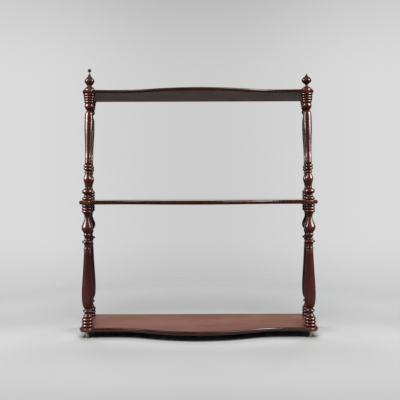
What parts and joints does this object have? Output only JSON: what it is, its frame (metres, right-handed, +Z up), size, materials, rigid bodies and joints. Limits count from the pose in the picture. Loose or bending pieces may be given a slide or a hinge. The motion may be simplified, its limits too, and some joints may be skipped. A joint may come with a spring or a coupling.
{
  "type": "etagere",
  "caption": "Low open etagere: shaped shelves with rounded edges on turned columns, peg feet below and turned finials above the front corners.",
  "frame": {"origin": "middle of the footprint's bounding box, on the floor under the feet", "axes": "+Z up, -Y the front with the swelling shelf edge, +X to the right seen from the front"},
  "size_m": [0.653, 0.2074, 0.6984],
  "materials": {
    "board_mahogany": "polished red-brown mahogany boards, straight grain along the length",
    "turned_mahogany": "dark polished mahogany turnings with worn high spots",
    "foot_brass": "tarnished brass",
    "ball_ebonised": "ebonised, satin",
    "wedge_beech": "plain end grain under a thin polish"
  },
  "bodies": {
    "root": {"bottom_shelf": "board_mahogany", "finial_ball": "ball_ebonised", "finial_left": "turned_mahogany", "finial_right": "turned_mahogany", "foot_front_left": "foot_brass", "foot_front_right": "foot_brass", "foot_rear_left": "foot_brass", "foot_rear_right": "foot_brass", "lower_column_front_left": "turned_mahogany", "lower_column_front_right": "turned_mahogany", "lower_column_rear_left": "turned_mahogany", "lower_column_rear_right": "turned_mahogany", "middle_shelf": "board_mahogany", "rear_wedge_left": "wedge_beech", "rear_wedge_right": "wedge_beech", "top_shelf": "board_mahogany", "upper_column_front_left": "turned_mahogany", "upper_column_front_right": "turned_mahogany", "upper_column_rear_left": "turned_mahogany", "upper_column_rear_right": "turned_mahogany"}
  },
  "joints": []
}
